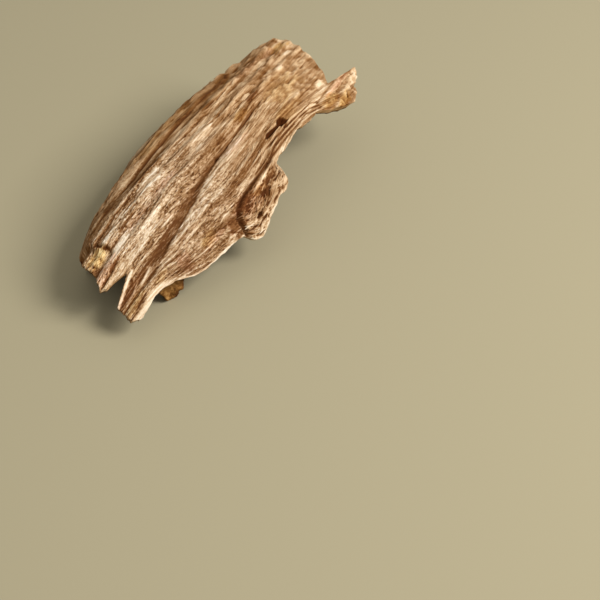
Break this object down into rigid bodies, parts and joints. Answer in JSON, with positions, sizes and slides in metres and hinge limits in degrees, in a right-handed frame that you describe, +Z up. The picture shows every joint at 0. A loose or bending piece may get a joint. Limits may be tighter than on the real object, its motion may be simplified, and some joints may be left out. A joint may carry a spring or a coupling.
{
  "type": "agarwood piece",
  "caption": "Loose hollow slab of weathered agarwood, an arched wall of grooved fibres with toothed ends and a lobed edge, resting on its rim.",
  "frame": {"origin": "Middle of the piece's box, on the surface it rests on.", "axes": "+X runs along the fibres, from the toothed end to the end with the nub, +Y points to the wall that curves down to the surface, and +Z is up."},
  "size_m": [0.1204, 0.0479, 0.0272],
  "materials": {
    "weathered_wood": "matte, weathered, open-grained, pale ridges with dark resin streaks"
  },
  "bodies": {
    "root": {"agarwood_piece": "weathered_wood"}
  },
  "joints": []
}
